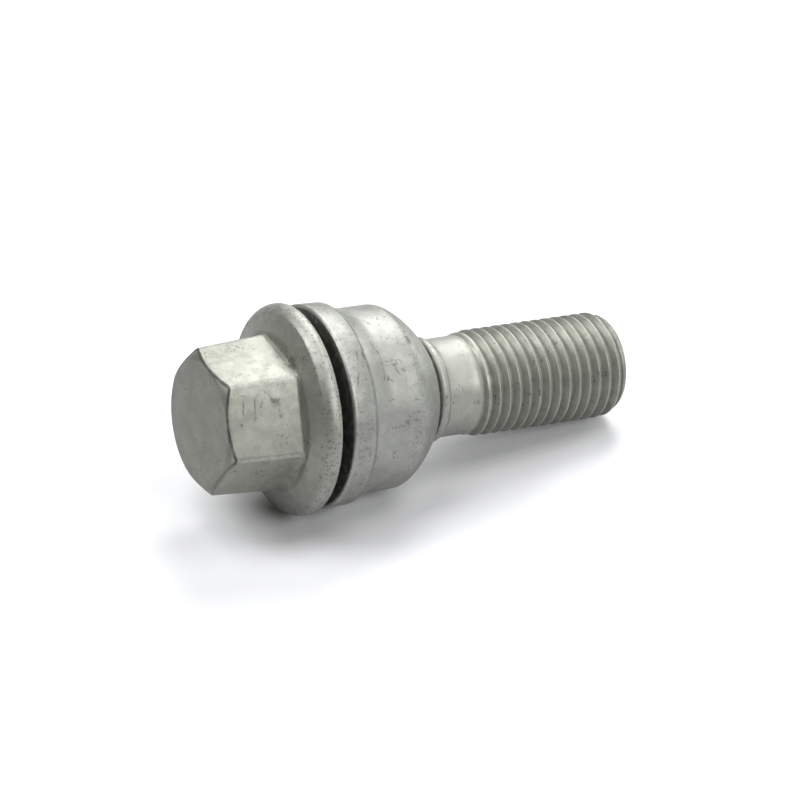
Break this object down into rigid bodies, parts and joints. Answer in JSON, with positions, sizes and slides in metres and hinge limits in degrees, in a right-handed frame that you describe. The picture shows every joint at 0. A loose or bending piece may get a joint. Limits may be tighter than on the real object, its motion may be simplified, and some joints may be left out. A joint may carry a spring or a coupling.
{
  "type": "wheel bolt",
  "caption": "Flanged hexagon wheel bolt with a loose ball-seat collar that spins on its plain shank behind a rolled metric thread.",
  "frame": {"origin": "centre of the flat end face of the hexagon head, on which the bolt stands", "axes": "+Z along the bolt's axis from the head to the tip of the thread; two opposite corners of the hexagon lie on +X and -X, two flats face +Y and -Y"},
  "size_m": [0.0276, 0.0276, 0.0602],
  "materials": {
    "bolt_coating": "matt silver-grey zinc flake coating, mottled, lightly scuffed",
    "collar_coating": "satin silver-grey zinc flake coating with scuffs and small ring marks"
  },
  "bodies": {
    "bolt": {"bolt": "bolt_coating"},
    "collar": {"ball_seat_collar": "collar_coating"}
  },
  "joints": [
    {"name": "collar_spin", "type": "hinge", "parent": "bolt", "child": "collar", "pos_m": [0, 0, 0.01545], "axis": [0, 0, 1], "continuous": true}
  ]
}
